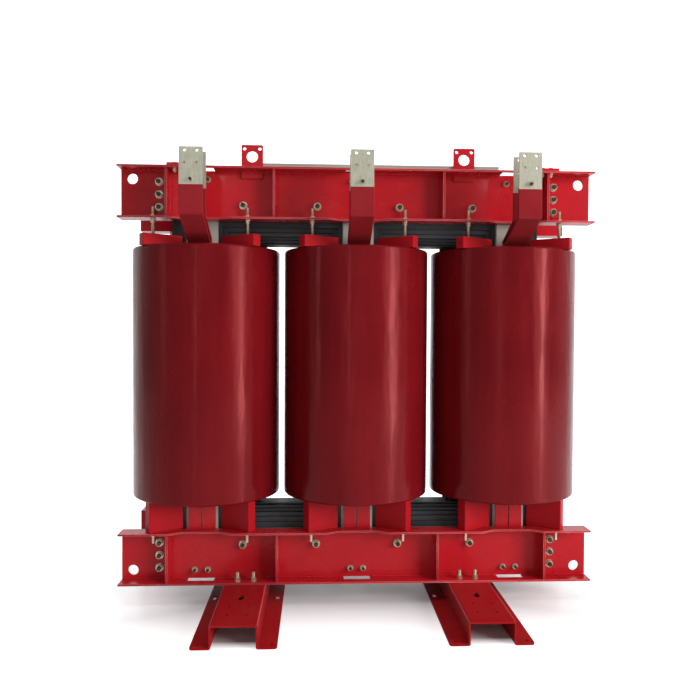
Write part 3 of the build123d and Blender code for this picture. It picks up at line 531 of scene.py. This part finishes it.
DECK_HALF = 0.1
BEND = 0.01 * (1 - math.sqrt(0.5))  # how far the middle of the deck's bend lies inside its square corner
for side in ("left", "right"):
    low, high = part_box("base_channel_" + side)
    middle = (low[0] + high[0]) / 2
    y0, y1 = low[1] + 0.004, high[1] - 0.004
    lines = []
    for sx in (-1, 1):
        deck = middle + sx * (DECK_HALF - BEND)
        foot = middle + sx * (high[0] - low[0]) / 2
        lines.append(edge_line((deck, y0, high[2] - BEND), (deck, y1, high[2] - BEND), 0.0013))
        lines.append(edge_line((foot, y0 + 0.012, 0.0072), (foot, y1 - 0.012, 0.0072), 0.0008))
    new_piece("base_edges_" + side, *merge(lines), "edge_paint", "frame_paint")


# ------------------------------------------------------------------ pale sheets on the ties' upper ends
BEAM_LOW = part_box("upper_clamp_front")[0][2]
SHEET_HALF = 0.073


def tie_sheet(x, face, facing):
    """Thin sheet on a tie plate, between the windings and the beam: a closed slab whose outer side is
    thickness times 1 minus the fourth power of the run across, so it thins to its edges."""
    u = np.linspace(-1, 1, 13)
    z = np.array([COIL_TOP + 0.001, BEAM_LOW - 0.0005])
    front = face + facing * (0.0004 + 0.0016 * (1 - u**4))
    back = np.full(len(u), face + facing * 0.0002)
    section = np.stack([np.append(u, u[::-1]) * SHEET_HALF + x, np.append(front, back)], -1)
    rings = np.empty((2, len(section), 3))
    rings[..., :2] = section
    rings[..., 2] = z[:, None]
    return closed_tube(rings if facing < 0 else rings[:, ::-1])


for side, facing in SIDES:
    low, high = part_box("tie_plates_" + side)
    face = low[1] if facing < 0 else high[1]
    sheets = [tie_sheet(x, face, facing) for x in PHASES.values()]
    new_piece("tie_sheets_" + side, *merge(sheets), "board", "board", False)


# ------------------------------------------------------------------ threads on the stud ends
CREST, ROOT, PAST_END = 0.0006, 0.0002, 0.0002


def thread(centre, axis, radius, start, end, pitch=0.0025):
    """Thread on a stud: a turned surface whose radius is radius + depth times a triangle wave of the
    run over the pitch, with a chamfered end."""
    axis = np.array(axis, float)
    side = np.cross(axis, (0.0, 0.0, 1.0) if abs(axis[2]) < 0.5 else (1.0, 0.0, 0.0))
    over = np.cross(axis, side)
    count = int(abs(end - start) / pitch * 2) + 1
    run = np.linspace(start, end, count)
    size = radius + ROOT + CREST * (np.arange(count) % 2)
    run = np.append(run, end + np.sign(end - start) * CREST)
    size = np.append(size, radius * 0.82)
    angle = np.linspace(0, 2 * math.pi, 14, endpoint=False)
    circle = np.cos(angle)[:, None] * side + np.sin(angle)[:, None] * over
    rings = np.array(centre) + run[:, None, None] * axis + size[:, None, None] * circle
    return closed_tube(rings if end > start else rings[:, ::-1])


def separate_boxes(node):
    """Box of each separate solid in a node: labels spread over its triangles until they settle."""
    mesh = nodes[node].data
    points = np.empty(len(mesh.vertices) * 3)
    mesh.vertices.foreach_get("co", points)
    points, same = np.unique(points.reshape(-1, 3).round(5), axis=0, return_inverse=True)
    corners = np.empty(len(mesh.polygons) * 3, int)
    mesh.polygons.foreach_get("vertices", corners)
    corners = same.ravel()[corners].reshape(-1, 3)
    label = np.arange(len(points))
    while True:
        lowest = label[corners].min(axis=1)
        spread = label.copy()
        np.minimum.at(spread, corners.ravel(), np.repeat(lowest, 3))
        if (spread == label).all():
            break
        label = spread
    solids = [points[label == name] for name in np.unique(label)]
    return [(solid.min(axis=0), solid.max(axis=0)) for solid in solids]


# node: thread radius, threaded length, and the ends that have one
LEVEL_STUDS = {
    "yoke_bolts_lower": (0.010, 0.010, "both"), "yoke_bolts_upper": (0.010, 0.010, "both"),
    "end_bolts_lower": (0.010, 0.010, "both"), "end_bolts_upper": (0.010, 0.010, "both"),
    "tie_plate_bolts_front": (0.007, 0.010, "low"), "tie_plate_bolts_rear": (0.007, 0.010, "high"),
    "lv_bar_ties": (0.006, 0.010, "both"),
}
# the level studs' thread ends are near black, painted shade at the centre of each nut
for node, (radius, length, ends) in LEVEL_STUDS.items():
    turned = []
    for low, high in separate_boxes(node):
        middle = ((low[0] + high[0]) / 2, 0.0, (low[2] + high[2]) / 2)
        if ends != "high":
            turned.append(thread(middle, (0, -1, 0), radius, -low[1] - length, -low[1] + PAST_END))
        if ends != "low":
            turned.append(thread(middle, (0, 1, 0), radius, high[1] - length, high[1] + PAST_END))
    new_piece(node + "_threads", *merge(turned), "thread_steel", "zinc", False)

FOOT_BOLT_RADIUS, FOOT_THREAD = 0.008, 0.026
turned = []
for low, high in separate_boxes("foot_bolts"):
    middle = ((low[0] + high[0]) / 2, (low[1] + high[1]) / 2, 0.0)
    turned.append(thread(middle, (0, 0, 1), FOOT_BOLT_RADIUS, high[2] - FOOT_THREAD, high[2] + PAST_END))
new_piece("foot_bolt_threads", *merge(turned), "zinc", "zinc", False)

# tops of the screw's nut above the beam's lower face and of its pad above the winding, and the drop of
# the lock nut under the beam
SCREW_RADIUS, NUT_TOP, PAD_TOP, LOCK_NUT = 0.007, 0.0235, 0.0545, 0.0155
for phase in PHASES:
    turned = []
    for low, high in separate_boxes("pressure_screws_" + phase):
        middle = ((low[0] + high[0]) / 2, (low[1] + high[1]) / 2, 0.0)
        for z0, z1 in ((BEAM_LOW + NUT_TOP, high[2] + PAST_END), (COIL_TOP + PAD_TOP, BEAM_LOW - LOCK_NUT)):
            turned.append(thread(middle, (0, 0, 1), SCREW_RADIUS, z0, z1))
    new_piece("pressure_screw_threads_" + phase, *merge(turned), "zinc", "zinc", False)


# ------------------------------------------------------------------ light, floor and camera
def white_seen(tree, shader, strength):
    """Adds a white glow that only the camera and mirrors see, scaled by strength."""
    path = add(tree, "ShaderNodeLightPath")
    mirrored = maths(tree, "MULTIPLY", path.outputs["Is Glossy Ray"], 0.45)
    seen = maths(tree, "MAXIMUM", path.outputs["Is Camera Ray"], mirrored)
    seen = maths(tree, "MAXIMUM", seen, path.outputs["Is Transmission Ray"])
    shader.inputs["Emission Color"].default_value = (1, 1, 1, 1)
    link(tree, maths(tree, "MULTIPLY", seen, strength), shader.inputs["Emission Strength"])


# base channels' middle and half width, and half sizes of the patch round the object, where the floor's glow
# is cut as painted shadow
CHANNEL_X, CHANNEL_HALF = 0.535, 0.106
SHADE_X, SHADE_Y = 1.25, 0.5


def floor_and_room():
    """Pale floor that curves up behind the transformer: a strip bent along a quarter circle. Its white
    glow fades near the object and inside the base channels, a painted shadow there, so the lamps' shadow
    stays."""
    depth, radius = 5.0, 2.5
    angles = np.linspace(0, np.pi / 2, 17)
    y = np.concatenate([[-14.0, depth - radius], depth - radius + radius * np.sin(angles[1:]), [depth]])
    z = np.concatenate([[0.0, 0.0], radius - radius * np.cos(angles[1:]), [9.0]])
    x = np.array([-14.0, 14.0])
    points = np.stack([np.tile(x, len(y)), np.repeat(y, 2), np.repeat(z, 2)], -1)
    mesh = bpy.data.meshes.new("floor")
    mesh.from_pydata(points.tolist(), [], grid_faces(len(y), 2, closed=False))
    obj = bpy.data.objects.new("floor", mesh)
    bpy.context.scene.collection.objects.link(obj)
    material = bpy.data.materials.new("floor_white")
    material.use_nodes = True
    tree = material.node_tree
    shader = tree.nodes["Principled BSDF"]
    shader.inputs["Base Color"].default_value = (0.8, 0.81, 0.82, 1)
    shader.inputs["Roughness"].default_value = 0.3
    place = add(tree, "ShaderNodeTexCoord")
    axes = add(tree, "ShaderNodeSeparateXYZ")
    link(tree, place.outputs["Object"], axes.inputs["Vector"])
    from_middle = maths(tree, "ABSOLUTE", axes.outputs["X"])
    from_plane = maths(tree, "ABSOLUTE", axes.outputs["Y"])
    along = maths(tree, "DIVIDE", from_middle, SHADE_X)
    across = maths(tree, "DIVIDE", from_plane, SHADE_Y)
    clear = ramp(tree, maths(tree, "MAXIMUM", along, across), 0.5, 1.5)
    glow_beyond_painted_shadow = maths(tree, "ADD", maths(tree, "MULTIPLY", clear, 0.85), 0.1)
    # inside the base channels the floor's glow is cut too: painted shade under each channel
    from_channel = maths(tree, "ABSOLUTE", maths(tree, "SUBTRACT", from_middle, CHANNEL_X))
    beside = maths(tree, "GREATER_THAN", from_channel, CHANNEL_HALF)
    beyond = ramp(tree, from_plane, 0.66, 0.74)
    open_floor = maths(tree, "MAXIMUM", beside, beyond)
    white_seen(tree, shader, maths(tree, "MULTIPLY", glow_beyond_painted_shadow, open_floor))
    mesh.materials.append(material)


def lamp(name, place, aim, width, height, power, in_mirrors=True, in_shade=True):
    """Soft rectangular lamp at place, facing aim; it can be kept out of mirrors or out of the shading."""
    data = bpy.data.lights.new(name, "AREA")
    data.shape = "RECTANGLE"
    data.size, data.size_y, data.energy = width, height, power
    obj = bpy.data.objects.new(name, data)
    bpy.context.scene.collection.objects.link(obj)
    obj.location = place
    direction = np.array(aim) - np.array(place)
    obj.rotation_euler = Vector(direction).to_track_quat("-Z", "Y").to_euler()
    obj.visible_glossy = in_mirrors
    obj.visible_diffuse = in_shade


floor_and_room()
MIDDLE = (0, 0, 1.1)
lamp("key_right", (7.3, -5.5, 3.2), MIDDLE, 4.2, 4.2, 745, in_mirrors=False)
lamp("ceiling", (0, -0.6, 5.2), (0, 0.1, 0), 5.0, 4.0, 110, in_mirrors=False)
lamp("front_fill", (-0.4, -6.5, 2.2), MIDDLE, 4.5, 2.4, 34, in_mirrors=False)
lamp("back_fill", (-3.0, 4.2, 2.6), MIDDLE, 3.0, 2.5, 60, in_mirrors=False)
lamp("gloss_right", (5.1, -3.5, 1.7), MIDDLE, 0.5, 4.6, 75, in_shade=False)
lamp("gloss_wide", (5.1, -3.9, 1.7), MIDDLE, 2.4, 4.6, 70, in_shade=False)
lamp("gloss_front", (-2.3, -10.0, 2.6), MIDDLE, 0.34, 5.0, 26, in_shade=False)
lamp("spot_left", (-1.42, -5.3, 3.19), (-0.69, -0.19, 2.05), 0.22, 0.14, 1.8, in_shade=False)
lamp("spot_right", (1.93, -5.3, 3.13), (0.65, -0.19, 2.03), 0.22, 0.14, 1.8, in_shade=False)
lamp("gloss_left", (-5.0, -2.8, 1.9), MIDDLE, 0.35, 3.0, 7, in_shade=False)

# the room's own light, and what camera and mirrors see on top of it
ROOM_LIGHT, SEEN, MIRRORED = 0.15, 0.85, 0.27
world = bpy.data.worlds.new("room")
bpy.context.scene.world = world
world.use_nodes = True
room = world.node_tree
background = room.nodes["Background"]
background.inputs["Color"].default_value = (1.0, 1.0, 1.0, 1)
path = add(room, "ShaderNodeLightPath")
seen = maths(room, "MAXIMUM", path.outputs["Is Camera Ray"], path.outputs["Is Transmission Ray"])
amount = maths(room, "MULTIPLY", seen, SEEN)
amount = maths(room, "ADD", amount, maths(room, "MULTIPLY", path.outputs["Is Glossy Ray"], MIRRORED))
link(room, maths(room, "ADD", amount, ROOM_LIGHT), background.inputs["Strength"])

# camera from a perspective fit: yaw, pitch, roll in radians
yaw, pitch, roll = -0.0472, -0.0230, 0.0050
ahead = np.array([-math.sin(yaw) * math.cos(pitch), math.cos(yaw) * math.cos(pitch), math.sin(pitch)])
level = np.array([math.cos(yaw), math.sin(yaw), 0.0])
above = np.cross(level, ahead)
right = math.cos(roll) * level + math.sin(roll) * above
up = -math.sin(roll) * level + math.cos(roll) * above
camera = bpy.data.objects.new("camera", bpy.data.cameras.new("camera"))
bpy.context.scene.collection.objects.link(camera)
turn = Matrix([[right[0], up[0], -ahead[0]], [right[1], up[1], -ahead[1]], [right[2], up[2], -ahead[2]]])
camera.location = (-0.1986, -3.5960, 1.2904)
camera.rotation_mode = "QUATERNION"
camera.rotation_quaternion = turn.to_quaternion()
SENSOR, IMAGE, FOCAL = 36.0, 700, 704.4
camera.data.sensor_width = SENSOR
camera.data.lens = FOCAL / IMAGE * SENSOR
bpy.context.scene.camera = camera
bpy.context.scene.view_settings.view_transform = "Standard"
